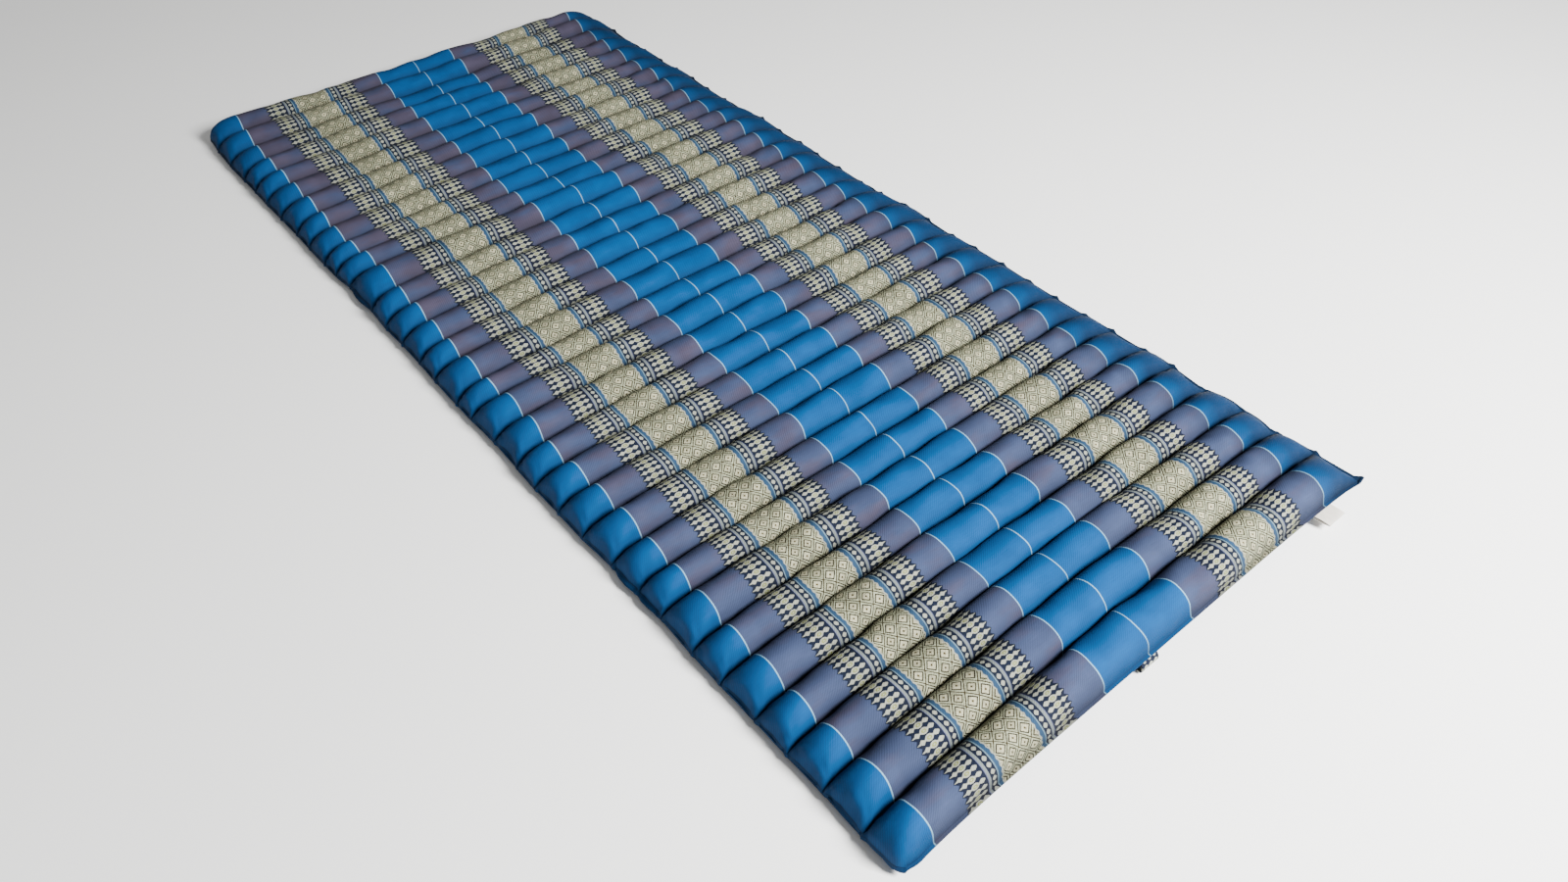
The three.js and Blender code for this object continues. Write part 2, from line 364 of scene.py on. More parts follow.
def readVectors(mesh, name):
    values = np.empty(len(mesh.vertices) * 3, dtype=np.float32)
    mesh.attributes[name].data.foreach_get("vector", values)
    return values.reshape(-1, 3).astype(float)


def readPoints(mesh):
    points = np.empty(len(mesh.vertices) * 3)
    mesh.vertices.foreach_get("co", points)
    return points.reshape(-1, 3)


def readNormals(mesh):
    normals = np.empty(len(mesh.vertices) * 3)
    mesh.vertices.foreach_get("normal", normals)
    return normals.reshape(-1, 3)


def writePoints(mesh, points):
    mesh.vertices.foreach_set("co", points.ravel())
    mesh.update()


def mapCloth(mesh):
    # UV maps in metres: the place in the cloth, and the distances to the stitch lines and the seam
    corner = np.empty(len(mesh.loops), dtype=np.int32)
    mesh.loops.foreach_get("vertex_index", corner)
    while mesh.uv_layers:
        mesh.uv_layers.remove(mesh.uv_layers[0])
    for name, places in (("cloth", "clothPlace"), ("seams", "seamPlace")):
        uv = readVectors(mesh, places)[corner, :2] * mm
        mesh.uv_layers.new(name=name).data.foreach_set("uv", uv.astype(np.float32).ravel())


def addMattress():
    angles = [math.radians(angle) for angle in mattress["crestAngles"]]
    crest = [(math.sin(a), max(math.cos(a), 0) ** mattress["shoulder"]) for a in angles]
    foot = list(zip(mattress["footAcross"], mattress["footShare"]))
    under = clothSheet("underside", foot, footHeight, 1)
    bpy.ops.object.mode_set(mode="EDIT")
    bpy.ops.mesh.select_all(action="SELECT")
    bpy.ops.mesh.flip_normals()
    bpy.ops.object.mode_set(mode="OBJECT")
    top = clothSheet("mattressCover", crest, topHeight, 0)
    under.select_set(True)
    bpy.context.view_layer.objects.active = top
    bpy.ops.object.join()
    mesh = top.data
    faceCount = {}
    for polygon in mesh.polygons:
        for key in polygon.edge_keys:
            faceCount[key] = faceCount.get(key, 0) + 1
    selectEdges(mesh, lambda edge: faceCount[edge.key] == 1)
    bpy.ops.mesh.bridge_edge_loops()
    bpy.ops.object.mode_set(mode="OBJECT")
    mapCloth(mesh)
    return top


def onLine(count):
    # a stitch line lies where the count of tubes is whole
    return np.abs(count - np.round(count)) < tolerance


def onStitches(mesh):
    # points on a stitch line, a seam or a seam allowance
    station, count, out = readVectors(mesh, "tubePlace").T
    return onLine(count) | (np.abs(station) > seamStation - tolerance) | (out != 0)


def creaseStitches(cover):
    mesh = cover.data
    stitched = onStitches(mesh)
    creases = mesh.attributes.new("crease_edge", "FLOAT", "EDGE")
    for edge in mesh.edges:
        a, b = edge.vertices
        if stitched[a] and stitched[b]:
            creases.data[edge.index].value = mattress["crease"]


def selectOnly(piece):
    bpy.ops.object.select_all(action="DESELECT")
    piece.select_set(True)
    bpy.context.view_layer.objects.active = piece


def applyModifier(piece, name):
    selectOnly(piece)
    bpy.ops.object.modifier_apply(modifier=name)


def subdivide(piece):
    modifier = piece.modifiers.new("subdivision", "SUBSURF")
    modifier.levels = 1
    modifier.render_levels = 1
    modifier.uv_smooth = "NONE"
    applyModifier(piece, "subdivision")


filling = {
    "pressure": 4.0,
    "frames": 20,
    "slack": -0.02,  # the cover is cut this much larger than the shape it starts from
    "cap": 4.0,  # mm that the filling may push a point
    "quality": 5,
    "mass": 0.25,
    "tension": 12,
    "compression": 6,
    "shear": 4,
    "bending": 0.3,
}


def fillMattress(cover):
    # the stitch lines and seams are held while the filling pushes the cover out
    mesh = cover.data
    start = readPoints(mesh)
    held = cover.vertex_groups.new(name="held")
    held.add([int(i) for i in np.nonzero(onStitches(mesh))[0]], 1.0, "REPLACE")
    cloth = cover.modifiers.new("filling", "CLOTH")
    settings = cloth.settings
    settings.quality = filling["quality"]
    settings.mass = filling["mass"]
    settings.tension_stiffness = filling["tension"]
    settings.compression_stiffness = filling["compression"]
    settings.shear_stiffness = filling["shear"]
    settings.bending_stiffness = filling["bending"]
    settings.vertex_group_mass = "held"
    settings.use_pressure = True
    settings.uniform_pressure_force = filling["pressure"]
    settings.shrink_min = filling["slack"]
    settings.effector_weights.gravity = 0
    cloth.collision_settings.use_collision = False
    cloth.collision_settings.use_self_collision = False
    cloth.point_cache.frame_start = 1
    cloth.point_cache.frame_end = filling["frames"]
    scene = bpy.context.scene
    for step in range(1, filling["frames"] + 1):
        scene.frame_set(step)
    applyModifier(cover, "filling")
    scene.frame_set(1)
    pushed = readPoints(mesh) - start
    length = np.linalg.norm(pushed, axis=1)
    share = np.minimum(1, filling["cap"] * mm / np.maximum(length, 1e-9))  # never by 0
    writePoints(mesh, start + pushed * share[:, None])
    print("filling pushed the cover out by up to", round(length.max() / mm, 1), "mm")


def pressTogether(cover):
    # neighbouring tubes press flat on each other above their stitch line
    mesh = cover.data
    points = readPoints(mesh)
    station, count, out = readVectors(mesh, "tubePlace").T
    gap = mattress["pressGap"]
    for i, place in enumerate(count):
        k = min(int(place), len(tubes) - 1)
        if out[i] or onLine(place):
            continue
        x = points[i, 0] / mm
        near = stitchLine(k, x) if k else -math.inf
        far = stitchLine(k + 1, x) if k < len(tubes) - 1 else math.inf
        points[i, 1] = min(max(points[i, 1], (near + gap) * mm), (far - gap) * mm)
    writePoints(mesh, points)


# Ridges that run up the left ends: tube, start and end of each as station and place across the tube,
# its height and half width in mm
ridges = [
    (0, (-423, -0.6), (-366, 0.1), 5.2, 14), (1, (-421, -0.2), (-380, 0.1), 2.4, 11),
    (2, (-421, 0.2), (-378, 0.0), 1.1, 9), (3, (-421, -0.3), (-384, 0.1), 0.9, 8),
    (5, (-421, 0.1), (-380, -0.1), 1.1, 9), (8, (-421, -0.3), (-382, 0.0), 0.9, 9),
    (11, (-421, 0.2), (-380, 0.1), 1.0, 9), (14, (-421, -0.1), (-384, 0.2), 1.1, 9),
    (17, (-421, 0.3), (-380, 0.0), 0.9, 9), (20, (-421, -0.2), (-380, 0.2), 1.2, 9),
    (24, (-421, 0.1), (-382, 0.0), 1.0, 9), (28, (-421, -0.2), (-380, 0.1), 0.9, 9),
    (32, (-421, 0.4), (-376, 0.0), 2.2, 11),
]

# Their share of the full height along them, the curve of their sides and the lowest point they reach
ridgeForm = {"along": (0, 0.25, 1), "share": (0.6, 1, 0), "curve": 1.4, "lowest": 10}


def raiseRidges(cover):
    mesh = cover.data
    points = readPoints(mesh)
    lift = np.zeros(len(points))
    for k, start, end, height, half in ridges:
        a = np.array(planPoint({"k": k, "across": start[1], "out": 0}, start[0]))
        b = np.array(planPoint({"k": k, "across": end[1], "out": 0}, end[0]))
        run = points[:, :2] / mm - a
        length = np.linalg.norm(b - a)
        along = np.clip(run @ (b - a) / length ** 2, 0, 1)
        aside = np.linalg.norm(run - along[:, None] * (b - a), axis=1)
        share = np.interp(along, ridgeForm["along"], ridgeForm["share"])
        lift += height * share * np.maximum(0, 1 - (aside / half) ** ridgeForm["curve"])
    lift *= points[:, 2] > ridgeForm["lowest"] * mm
    writePoints(mesh, points + readNormals(mesh) * lift[:, None] * mm)


# Small folds that fan out near each stitch line's end
pleats = {
    "count": 7,  # to a full turn
    "station": 410,
    "reach": (3, 9, 30),  # where they start, are full and end, in mm from there
    "height": {-1: 0.8, 1: 0.35},  # at the left and right ends
    "uneven": 0.4,
    "unevenTurn": (2.1, 1.7),  # round the fan, and from line to line
    "lineTurn": 2.4,
}


def pleatEnds(cover):
    mesh = cover.data
    points = readPoints(mesh)
    lift = np.zeros(len(points))
    start, full, end = pleats["reach"]
    fanTurn, lineTurn = pleats["unevenTurn"]
    for side, height in pleats["height"].items():
        for k in range(1, len(tubes)):
            line = {"k": k, "across": -1, "out": 0}
            x, y = planPoint(line, side * pleats["station"])
            across = points[:, 0] / mm - x
            along = points[:, 1] / mm - y
            far = np.hypot(across, along)
            share = np.interp(far, (start, full, end), (0, 1, 0)) * (far > start)
            angle = np.arctan2(along, across * side)
            uneven = 1 + pleats["uneven"] * np.sin(fanTurn * angle + lineTurn * k)
            lift += height * share * uneven * np.sin(pleats["count"] * angle + pleats["lineTurn"] * k)
    writePoints(mesh, points + readNormals(mesh) * lift[:, None] * mm)


def restOnFloor(cover):
    points = readPoints(cover.data)
    points[:, 2] = np.maximum(points[:, 2] - mattress["settle"] * mm, 0)
    writePoints(cover.data, points)


def smooth(piece):
    selectOnly(piece)
    bpy.ops.object.shade_smooth()


cover = addMattress()
creaseStitches(cover)
print("mattress mesh", len(cover.data.polygons), "faces")
fillMattress(cover)
pressTogether(cover)
subdivide(cover)
raiseRidges(cover)
pleatEnds(cover)
restOnFloor(cover)
smooth(cover)
print("mattress subdivided", len(cover.data.polygons), "faces, height",
      round(max(v.co.z for v in cover.data.vertices) / mm, 1), "mm")


# Ribbons: a strip of cloth that follows a line seen from its side, with its edges rounded over
label = {
    "station": 338,
    "width": 35,
    "thickness": 0.9,
    "skew": 0.25,
    "flat": (0.035, 0.052),  # in metres
    # out from the near seam and up, in mm
    "line": [(-2.6, 16.9), (-8, 16.3), (-14, 15.4), (-19, 14.3), (-22.6, 13.2), (-24, 12.3),
             (-23.2, 11.6), (-20, 11.3), (-14, 11.9), (-8, 12.5), (-2.6, 12.9)],
    "acrossCount": 14,
    "wave": 0.35,
    "colour": "D2CCC2",
    "thread": 1.1,  # pitch of its plain weave
}

tie = {
    "station": -22,
    "width": 30,
    "thickness": 2.4,
    "skew": 0,
    "flat": (0.030, 0.030),
    "line": [(-1, 16.0), (-3.6, 15.5), (-5.6, 13.6), (-6.6, 11), (-7, 8), (-6.4, 5), (-4.8, 2.7),
             (-2.4, 1.7), (0.6, 1.5), (4, 1.5)],
    "acrossCount": 18,
    "wave": 0.3,
    "thread": 1.4,
}

# The cream beads woven in rows on the tie, in mm
tieBeads = {"pitch": 8.8, "rowPitch": 9.5, "half": (3.7, 3.7), "curve": 1.6}

# How fast a ribbon's wave turns across it and from row to row, the rows over which it dies down at
# both ends, and the roundness of the edge as a share of the thickness
ribbonForm = {"waveTurn": (0.21, 0.5), "fadeRows": 3, "edge": 0.3}


def ribbonMesh(name, ribbon):
    line = [Vector(p) for p in ribbon["line"]]
    lengths = [0]
    for a, b in zip(line, line[1:]):
        lengths.append(lengths[-1] + (b - a).length)
    bpy.ops.object.select_all(action="DESELECT")
    bpy.ops.mesh.primitive_grid_add(
        x_subdivisions=ribbon["acrossCount"], y_subdivisions=len(line) - 1, size=2)
    piece = bpy.context.object
    piece.name = name
    mesh = piece.data
    seamY = stitchLine(0, ribbon["station"])
    turnAcross, turnAlong = ribbonForm["waveTurn"]
    fadeRows = ribbonForm["fadeRows"]
    flat = {}
    for vertex in mesh.vertices:
        across = vertex.co.x * ribbon["width"] / 2
        j = round((vertex.co.y + 1) / 2 * (len(line) - 1))
        out, up = line[j]
        lift = ribbon["wave"] * math.sin(across * turnAcross + j * turnAlong)
        lift *= min(j, len(line) - 1 - j, fadeRows) / fadeRows
        x = ribbon["station"] + across - ribbon["skew"] * out
        vertex.co = (x * mm, (seamY + out) * mm, (up + lift) * mm)
        flat[vertex.index] = (across * mm, lengths[j] * mm)
    mesh.uv_layers[0].name = "cloth"
    for loop in mesh.loops:
        mesh.uv_layers["cloth"].data[loop.index].uv = flat[loop.vertex_index]
    bpy.ops.object.mode_set(mode="EDIT")
    bpy.ops.mesh.select_all(action="SELECT")
    bpy.ops.mesh.normals_make_consistent(inside=False)
    bpy.ops.object.mode_set(mode="OBJECT")
    thick = piece.modifiers.new("cloth", "SOLIDIFY")
    thick.thickness = ribbon["thickness"] * mm
    thick.offset = 0
    applyModifier(piece, "cloth")
    edge = piece.modifiers.new("edge", "BEVEL")
    edge.width = ribbon["thickness"] * ribbonForm["edge"] * mm
    edge.segments = 2
    edge.limit_method = "ANGLE"
    applyModifier(piece, "edge")
    subdivide(piece)
    smooth(piece)
    return piece


labelCloth = ribbonMesh("labelCloth", label)
tieStrip = ribbonMesh("tieStrip", tie)
print("label and tie", len(labelCloth.data.polygons), len(tieStrip.data.polygons), "faces")


# Node helpers: sockets or plain numbers go in, a socket comes out
def feed(tree, socket, value):
    if isinstance(value, bpy.types.NodeSocket):
        tree.links.new(value, socket)
    else:
        socket.default_value = value


def calc(tree, operation, *values):
    node = tree.nodes.new("ShaderNodeMath")
    node.operation = operation
    for socket, value in zip(node.inputs, values):
        feed(tree, socket, value)
    return node.outputs[0]


def ramp(tree, value, low, high, bottom=0, top=1):
    # bottom up to low, top from high, straight between
    node = tree.nodes.new("ShaderNodeMapRange")
    feed(tree, node.inputs["Value"], value)
    feed(tree, node.inputs["From Min"], low)
    feed(tree, node.inputs["From Max"], high)
    node.inputs["To Min"].default_value = bottom
    node.inputs["To Max"].default_value = top
    return node.outputs["Result"]


def band(tree, value, low, high, soft=0.5):
    rising = ramp(tree, value, low - soft / 2, low + soft / 2)
    falling = ramp(tree, value, high + soft / 2, high - soft / 2)
    return calc(tree, "MULTIPLY", rising, falling)


def below(tree, value, limit, soft=0.4):
    # 1 where the value is under the limit; the limit may be a socket
    gap = calc(tree, "SUBTRACT", limit, value)
    return ramp(tree, gap, -soft / 2, soft / 2)


def blendValues(tree, share, first, second):
    node = tree.nodes.new("ShaderNodeMix")
    feed(tree, node.inputs[0], share)
    feed(tree, node.inputs[2], first)
    feed(tree, node.inputs[3], second)
    return node.outputs[0]


def blendColours(tree, share, first, second):
    node = tree.nodes.new("ShaderNodeMix")
    node.data_type = "RGBA"
    feed(tree, node.inputs[0], share)
    feed(tree, node.inputs[6], first)
    feed(tree, node.inputs[7], second)
    return node.outputs[2]


def darken(tree, shade, share):
    return blendColours(tree, share, shade, (0, 0, 0, 1))


def colour(hexText):
    # from sRGB digits to the shader's linear colour
    parts = [int(hexText[i:i + 2], 16) / 255 for i in (0, 2, 4)]
    linear = [c / 12.92 if c <= 0.04045 else ((c + 0.055) / 1.055) ** 2.4 for c in parts]
    return (*linear, 1)


def chart(tree, value, stops):
    # a short table of places from 0 to 1, each with a grey level or a colour
    node = tree.nodes.new("ShaderNodeValToRGB")
    feed(tree, node.inputs[0], value)
    elements = node.color_ramp.elements
    while len(elements) < len(stops):
        elements.new(0.5)
    for element, (place, level) in zip(elements, stops):
        element.position = place
        element.color = colour(level) if isinstance(level, str) else (level, level, level, 1)
    return node.outputs[0]


def away(tree, value, pitch):
    # distance to the nearest middle of a repeat, in mm
    return calc(tree, "PINGPONG", value, pitch / 2)


def roundAway(tree, x, y, half, curve):
    # how far from the middle of a round spot of these half sizes; 1 is its edge
    across = calc(tree, "POWER", calc(tree, "DIVIDE", x, half[0]), curve)
    along = calc(tree, "POWER", calc(tree, "DIVIDE", y, half[1]), curve)
    return calc(tree, "ADD", across, along)


def pair(tree, x, y):
    node = tree.nodes.new("ShaderNodeCombineXYZ")
    feed(tree, node.inputs[0], x)
    feed(tree, node.inputs[1], y)
    return node.outputs[0]


def noiseRamp(tree, u, v, settings):
    # noise stretched across and along the cloth, read through a ramp
    scaleU, scaleV = settings["scale"]
    place = pair(tree, calc(tree, "MULTIPLY", u, scaleU), calc(tree, "MULTIPLY", v, scaleV))
    node = tree.nodes.new("ShaderNodeTexNoise")
    tree.links.new(place, node.inputs["Vector"])
    node.inputs["Scale"].default_value = 1.0
    node.inputs["Detail"].default_value = settings["detail"]
    node.inputs["Roughness"].default_value = settings.get("roughness", 0.5)
    value = node.outputs[0]
    if "turn" in settings:
        value = calc(tree, "ADD", value, calc(tree, "MULTIPLY", v, settings["turn"]))
    return ramp(tree, value, *settings["ramp"])


def placeFrom(tree, uvName):
    # both numbers of a UV map, in mm
    uv = tree.nodes.new("ShaderNodeUVMap")
    uv.uv_map = uvName
    parts = tree.nodes.new("ShaderNodeSeparateXYZ")
    tree.links.new(uv.outputs[0], parts.inputs[0])
    return [calc(tree, "MULTIPLY", part, 1 / mm) for part in parts.outputs[:2]]


def addBump(tree, shader, height, bump):
    node = tree.nodes.new("ShaderNodeBump")
    node.inputs["Strength"].default_value = bump["strength"]
    node.inputs["Distance"].default_value = bump["distance"]
    tree.links.new(height, node.inputs["Height"])
    tree.links.new(node.outputs[0], shader.inputs["Normal"])


def newMaterial(name, roughness, gloss=0.5):
    material = bpy.data.materials.new(name)
    material.use_nodes = True
    shader = material.node_tree.nodes["Principled BSDF"]
    shader.inputs["Roughness"].default_value = roughness
    shader.inputs["Specular IOR Level"].default_value = gloss
    return material, shader


# Colours of the weave
threads = {
    "blue": "004B84",
    "purple": "3B4664",
    "purpleRed": "4B414F",
    "paleLine": "8AB9D4",
    "navy": "0D1629",
    "cream": "9EA092",
    "beadCentre": "84894C",
    "greyLine": "757D7B",
    "lilacLine": "565B79",
    "paleBlue": "6B8593",
    "blueDeep": "2A4661",
}

# The purple bands are shot with red threads, more so towards the far end
purpleShot = {"scale": (0.012, 0.03), "detail": 3.0, "turn": 0.00009, "ramp": (0.38, 0.66, 0.0, 0.75)}

# Places across the cloth in mm: those of the purple and patterned bands from the cloth's middle line,
# and the others from the middle line of a patterned band
weave = {
    "purpleFrom": 81,
    "purpleTo": 358,
    "bandCentre": 219.6,
    "lineWidth": 1.4,
    "latticeHalf": 32,
    "scallop": 0.8,
    "rim": 1.6,
    "blueLineTo": 37.2,
    "paleLineTo": 38.7,
    "dotsAt": 43.4,
    "dotHalf": (3.0, 3.3),
    "dotCurve": 1.4,
    "greyLineFrom": 48.6,
    "greyLineTo": 52.0,
    "lilacLineTo": 52.9,
    "navyTo": 53.7,
    "beadFrom": 54,
    "beadTo": 89,
    "beadEdge": (0.5, -4),  # the dark ground's toothed edge, out past beadTo and back
    "ovalAt": 70.0,
    "ovalHalf": (3.4, 2.0),
    "ovalEye": 0.2,
    "pitch": 8.8,  # of beads, dots and scallops along the cloth
    "thread": 0.55,
}

# Half width in mm of the cream bead column at places from the band's middle line
beadOutline = [
    (54.8, 0), (56.0, 1.2), (59.2, 3.0), (61.8, 2.1), (63.6, 0.8), (65.0, 1.4), (67.0, 3.1),
    (70.0, 3.8), (73.0, 3.1), (75.2, 1.4), (76.5, 0.7), (77.8, 1.5), (80.0, 3.0), (81.8, 2.2),
    (83.4, 1.0), (85.4, 0.6), (87.4, 0.3), (88.2, 0),
]

# The lattice's brocade: from the middle of a large lozenge (0) to the middle of a small one (1)
latticeRings = [
    (0.0, "B0B494"), (0.452, "B0B494"), (0.466, "2E240C"), (0.542, "2E240C"), (0.556, "BFC3A6"),
    (0.595, "BFC3A6"), (0.608, "6A6740"), (0.628, "6A6740"), (0.64, "A5A887"), (1.0, "A5A887"),
]
# The two lozenges laid on it, each from its middle (0) to its edge (1)
largeLozenge = [
    (0.0, "4C4226"), (0.17, "4C4226"), (0.22, "C1BE9D"), (0.66, "C1BE9D"), (0.69, "1B1405"),
    (0.9, "1B1405"), (0.93, "BFC3A6"), (1.0, "BFC3A6"),
]
smallLozenge = [
    (0.0, "3E3520"), (0.18, "3E3520"), (0.23, "B4B192"), (0.65, "B4B192"), (0.68, "211B0B"),
    (0.89, "211B0B"), (0.92, "B0B494"), (1.0, "B0B494"),
]
# Across and along: the lattice's repeat with the half width of its lozenges, and its knots
lattice = {"pitch": (21, 25), "large": 9.2, "small": 8.2}
knots = {"size": (1.65, 1.1), "shade": (0.5, 1.0, 0.0, 0.4)}


def lozenge(tree, shade, distance, size, rings):
    # lays one kind of lozenge, drawn in rings from its middle, over the shade
    ring = chart(tree, calc(tree, "DIVIDE", distance, size), rings)
    return blendColours(tree, below(tree, distance, size), shade, ring)


def latticeColour(tree, u, v):
    across, along = lattice["pitch"]
    x = away(tree, u, across)
    y = away(tree, v, along)
    share = calc(tree, "ADD", calc(tree, "DIVIDE", x, across), calc(tree, "DIVIDE", y, along))
    shade = chart(tree, share, latticeRings)
    fromLarge = calc(tree, "ADD", x, y)
    shade = lozenge(tree, shade, fromLarge, lattice["large"], largeLozenge)
    fromSmall = calc(tree, "SUBTRACT", (across + along) / 2, fromLarge)
    shade = lozenge(tree, shade, fromSmall, lattice["small"], smallLozenge)
    # knots of the brocade threads
    knot = tree.nodes.new("ShaderNodeTexWhiteNoise")
    knot.noise_dimensions = "2D"
    sizeU, sizeV = knots["size"]
    cell = pair(tree, calc(tree, "SNAP", u, sizeU), calc(tree, "SNAP", v, sizeV))
    tree.links.new(cell, knot.inputs["Vector"])
    return darken(tree, shade, ramp(tree, knot.outputs["Value"], *knots["shade"]))


def beadHalf(tree, b):
    # a chart holds only 0 to 1, so the half widths are scaled; where one is 0 the column is shut
    scale = 4.7
    shut = 0.3
    start = weave["beadFrom"]
    span = weave["beadTo"] - start
    stops = [((place - start) / span, (half + shut * (half > 0)) / scale)
             for place, half in beadOutline]
    half = chart(tree, ramp(tree, b, start, weave["beadTo"]), stops)
    return calc(tree, "SUBTRACT", calc(tree, "MULTIPLY", half, scale), shut)


def bandColour(tree, b, u, v, base):
    # the dark ground with its bead columns, the lines and dots and the lattice, laid over the base
    t = away(tree, v, weave["pitch"])
    halfPitch = weave["pitch"] / 2
    out, back = weave["beadEdge"]
    ground = ramp(tree, t, 0, halfPitch, weave["beadTo"] + out, weave["beadTo"] + back)
    fromOval = calc(tree, "ABSOLUTE", calc(tree, "SUBTRACT", b, weave["ovalAt"]))
    oval = roundAway(tree, fromOval, t, weave["ovalHalf"], 2)
    fromDot = calc(tree, "ABSOLUTE", calc(tree, "SUBTRACT", b, weave["dotsAt"]))
    dot = roundAway(tree, fromDot, t, weave["dotHalf"], weave["dotCurve"])
    tip = weave["latticeHalf"] + weave["scallop"]
    dip = weave["latticeHalf"] - weave["scallop"]
    scallop = ramp(tree, t, 0, halfPitch, tip, dip)
    layers = [
        (below(tree, b, ground), "navy"),
        (below(tree, t, beadHalf(tree, b), soft=0.5), "cream"),
        (below(tree, oval, 1.0, soft=0.3), "beadCentre"),
        (below(tree, oval, weave["ovalEye"], soft=0.1), "cream"),
        (below(tree, b, weave["navyTo"]), "navy"),
        (band(tree, b, weave["greyLineFrom"], weave["lilacLineTo"]), "lilacLine"),
        (band(tree, b, weave["greyLineFrom"], weave["greyLineTo"]), "greyLine"),
        (below(tree, dot, 1.0, soft=0.25), "cream"),
        (below(tree, b, weave["paleLineTo"]), "paleBlue"),
        (below(tree, b, weave["blueLineTo"]), "blueDeep"),
        (below(tree, b, scallop), "cream"),
    ]
    shade = base
    for share, thread in layers:
        shade = blendColours(tree, share, shade, colour(threads[thread]))
    inside = below(tree, b, calc(tree, "SUBTRACT", scallop, weave["rim"]))
    return blendColours(tree, inside, shade, latticeColour(tree, u, v))


def wovenColour(tree, u, v):
    # each thread has one place, so the edges of the pattern step from thread to thread
    stepU = calc(tree, "SNAP", u, weave["thread"])
    stepV = calc(tree, "SNAP", v, weave["thread"])
    side = calc(tree, "ABSOLUTE", stepU)
    fromBand = calc(tree, "SUBTRACT", side, weave["bandCentre"])
    b = calc(tree, "ABSOLUTE", fromBand)
    purple = band(tree, side, weave["purpleFrom"], weave["purpleTo"])
    shot = noiseRamp(tree, u, v, purpleShot)
    purpleCloth = blendColours(tree, shot, colour(threads["purple"]), colour(threads["purpleRed"]))
    base = blendColours(tree, purple, colour(threads["blue"]), purpleCloth)
    for place in (0, weave["purpleFrom"], weave["purpleTo"]):
        half = weave["lineWidth"] / 2
        line = band(tree, side, place - half, place + half)
        base = blendColours(tree, line, base, colour(threads["paleLine"]))
    return bandColour(tree, b, fromBand, stepV, base)


# Painted shade, darkened into the cloth's colour where shade falls: in the grooves from a stitch
# line, at the ends from the outer seam, on the seam allowance, along the sewn outer seam (partly its
# dark thread, partly painted shade), deeper towards the far end, and towards the right and left ends.
# Places in mm, and how much of the light it takes
paintedShadows = {
    "groove": ((1.5, 0.66), (12, 0.46), (31, 0)),  # from a stitch line
    "ends": ((0, 0.28), (5, 0.14), (16, 0)),  # from the outer seam
    "allowance": 0.55,  # outside the outer seam
    "seamLine": (-0.35, 0.35),
    "seamDepth": 0.8,
    "farHalf": (-200, 1400, 1, 1.3),  # along the cloth: from, to and how many times as deep
    "rightEnd": (335, 385, 0, 0.64),  # across the cloth: from, to and the shadow at each
    "leftEnd": (-362, -402, 0, 0.14),
}


def fading(tree, value, steps):
    # three places with their shadows, and straight between them
    (a, most), (b, middle), (c, none) = steps
    outer = ramp(tree, value, b, c, middle, none)
    return calc(tree, "ADD", outer, ramp(tree, value, a, b, most - middle, 0))


# painted shade: the cloth darkened in the grooves, near the outer seam and on its allowance, along
# the sewn seam (partly its dark thread), and more towards the far end
def paintedShade(tree, v, toStitch, toSeam):
    share = fading(tree, toStitch, paintedShadows["groove"])
    share = calc(tree, "MAXIMUM", share, fading(tree, toSeam, paintedShadows["ends"]))
    outside = below(tree, toSeam, paintedShadows["seamLine"][0], soft=0.2)
    share = blendValues(tree, outside, share, paintedShadows["allowance"])
    line = band(tree, toSeam, *paintedShadows["seamLine"], soft=0.3)
    share = calc(tree, "MAXIMUM", share, calc(tree, "MULTIPLY", line, paintedShadows["seamDepth"]))
    return calc(tree, "MULTIPLY", share, ramp(tree, v, *paintedShadows["farHalf"]))


# Slow changes over the cloth, in mm of drift or as a share of the light taken
unevenness = {
    "drift": {"scale": (0.004, 0.012), "detail": 2.0, "ramp": (0.3, 0.7, -0.6, 0.6)},
    "slub": {"scale": (0.05, 1.1), "detail": 3.0, "roughness": 0.6, "ramp": (0.35, 0.65, 0.0, 0.12)},
    "dye": {"scale": (0.02, 0.02), "detail": 3.0, "ramp": (0.35, 0.7, 0.0, 0.12)},
    "streak": {"scale": (0.03, 0.03), "detail": 2.0, "ramp": (0.35, 0.6, 0.1, 0.3)},
    "wear": {"scale": (0.08, 0.08), "detail": 3.0, "ramp": (0.35, 0.7, 0.0, 0.14)},
}

twill = {"slope": -1.02, "fine": 1.3, "coarse": 3.8, "coarseHeight": 0.7, "shade": 0.12}
coverFinish = {"roughness": 0.75, "gloss": 0.12, "bump": {"strength": 0.4, "distance": 0.0002}}
ribbonFinish = {"roughness": 0.8, "gloss": 0.15, "threadShade": 0.12,
                "bump": {"strength": 0.6, "distance": 0.0003}}


def waveHeight(tree, value, pitch):
    return calc(tree, "SINE", calc(tree, "MULTIPLY", value, 2 * math.pi / pitch))


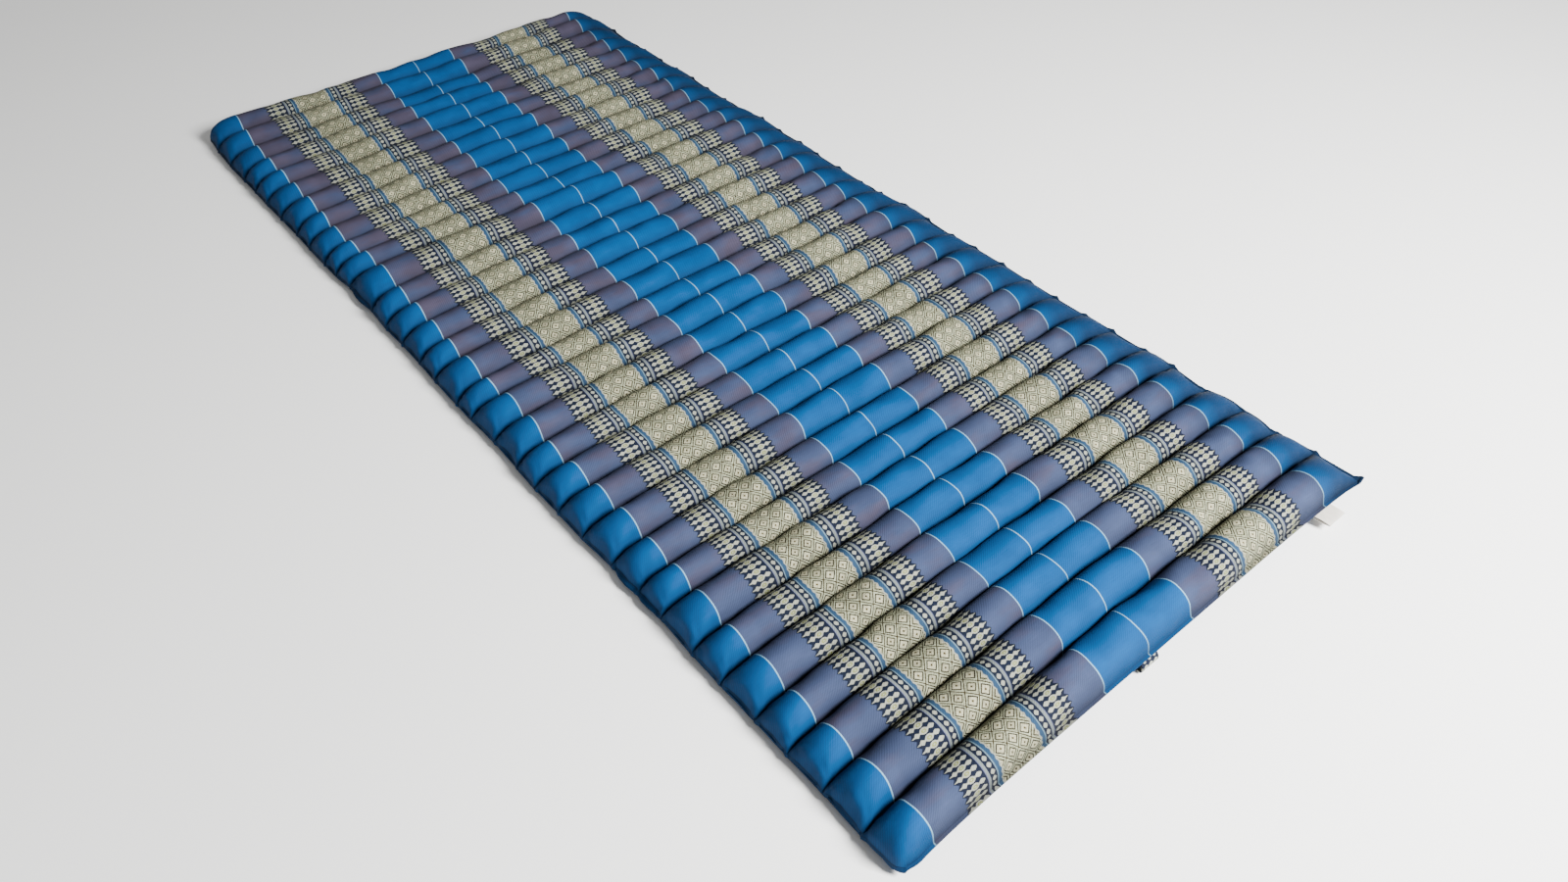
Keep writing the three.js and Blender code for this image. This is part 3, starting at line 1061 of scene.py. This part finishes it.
def coverMaterial():
    material, shader = newMaterial("wovenCover", coverFinish["roughness"], coverFinish["gloss"])
    tree = material.node_tree
    u, v = placeFrom(tree, "cloth")
    toStitch, toSeam = placeFrom(tree, "seams")
    u = calc(tree, "ADD", u, noiseRamp(tree, u, v, unevenness["drift"]))
    shade = wovenColour(tree, u, v)

    # the underside is plain blue cloth
    places = tree.nodes.new("ShaderNodeAttribute")
    places.attribute_name = "seamPlace"
    parts = tree.nodes.new("ShaderNodeSeparateXYZ")
    tree.links.new(places.outputs["Vector"], parts.inputs[0])
    under = ramp(tree, parts.outputs[2], 0.45, 0.55)
    shade = blendColours(tree, under, shade, colour(threads["blue"]))

    # slubs along the weft, slow changes of dye and a twill with fine and coarse ribs
    for name in ("slub", "dye"):
        shade = darken(tree, shade, noiseRamp(tree, u, v, unevenness[name]))
    phase = calc(tree, "ADD", u, calc(tree, "MULTIPLY", v, twill["slope"]))
    fine = waveHeight(tree, phase, twill["fine"])
    coarse = waveHeight(tree, phase, twill["coarse"])
    shade = darken(tree, shade, ramp(tree, fine, -1, 1, 0, twill["shade"]))
    streak = noiseRamp(tree, u, v, unevenness["streak"])
    shade = darken(tree, shade, calc(tree, "MULTIPLY", ramp(tree, coarse, -1, 1), streak))

    # painted shade: darker towards the right and left ends, then in the grooves and along the seams
    for side in ("rightEnd", "leftEnd"):
        shade = darken(tree, shade, ramp(tree, u, *paintedShadows[side]))
    shade = darken(tree, shade, paintedShade(tree, v, toStitch, toSeam))
    tree.links.new(shade, shader.inputs["Base Color"])
    height = calc(tree, "ADD", fine, calc(tree, "MULTIPLY", coarse, twill["coarseHeight"]))
    addBump(tree, shader, height, coverFinish["bump"])
    return material


def beadedColour(tree, u, v):
    # rows of cream beads on the dark ground
    x = away(tree, u, tieBeads["pitch"])
    y = away(tree, v, tieBeads["rowPitch"])
    bead = below(tree, roundAway(tree, x, y, tieBeads["half"], tieBeads["curve"]), 1.0, soft=0.3)
    return blendColours(tree, bead, colour(threads["navy"]), colour(threads["cream"]))


def ribbonMaterial(name, ribbon):
    # the label's plain cloth or the tie's beaded cloth; the threads go over and under in turn
    material, shader = newMaterial(name, ribbonFinish["roughness"], ribbonFinish["gloss"])
    tree = material.node_tree
    u, v = placeFrom(tree, "cloth")
    over = waveHeight(tree, u, ribbon["thread"])
    under = waveHeight(tree, v, ribbon["thread"])
    thread = calc(tree, "MULTIPLY", over, under)
    shade = colour(ribbon["colour"]) if "colour" in ribbon else beadedColour(tree, u, v)
    shade = darken(tree, shade, noiseRamp(tree, u, v, unevenness["wear"]))
    shade = darken(tree, shade, ramp(tree, thread, -1, 1, ribbonFinish["threadShade"], 0))
    tree.links.new(shade, shader.inputs["Base Color"])
    addBump(tree, shader, thread, ribbonFinish["bump"])
    return material


def dress(piece, material):
    piece.data.materials.clear()
    piece.data.materials.append(material)


dress(cover, coverMaterial())
dress(labelCloth, ribbonMaterial("labelCloth", label))
dress(tieStrip, ribbonMaterial("tieCloth", tie))
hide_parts("mattress")
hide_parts("label")
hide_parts("tie")
for piece in (cover, labelCloth, tieStrip):
    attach(piece, "root")


# Floor and light
studio = {
    "floor": {"colour": "FAFAF8", "roughness": 0.9, "size": 16, "place": (0, 2, 0)},
    "skyStrength": 0.25,
    "key": {"place": (0.75, -2.5, 1.9), "aim": (0, -0.4, 0), "size": 0.9, "power": 375},
    "fill": {"place": (-1.5, 0.5, 3.2), "aim": (0, 0, 0), "size": 3.0, "power": 9},
}


def addFloor():
    settings = studio["floor"]
    bpy.ops.mesh.primitive_plane_add(size=settings["size"], location=settings["place"])
    floor = bpy.context.object
    floor.name = "floor"
    material, shader = newMaterial("floorPaper", settings["roughness"])
    shader.inputs["Base Color"].default_value = colour(settings["colour"])
    floor.data.materials.append(material)


def addLight(name, settings):
    bpy.ops.object.light_add(type="AREA", location=settings["place"])
    light = bpy.context.object
    light.name = name
    light.data.size = settings["size"]
    light.data.energy = settings["power"]
    direction = Vector(settings["aim"]) - Vector(settings["place"])
    light.rotation_euler = direction.to_track_quat("-Z", "Y").to_euler()


def addSky():
    world = bpy.data.worlds.new("studioSky")
    world.use_nodes = True
    background = world.node_tree.nodes["Background"]
    background.inputs["Color"].default_value = (1, 1, 1, 1)
    background.inputs["Strength"].default_value = studio["skyStrength"]
    bpy.context.scene.world = world


addFloor()
addLight("keyLight", studio["key"])
addLight("fillLight", studio["fill"])
addSky()
print("studio ready")

bpy.context.view_layer.update()
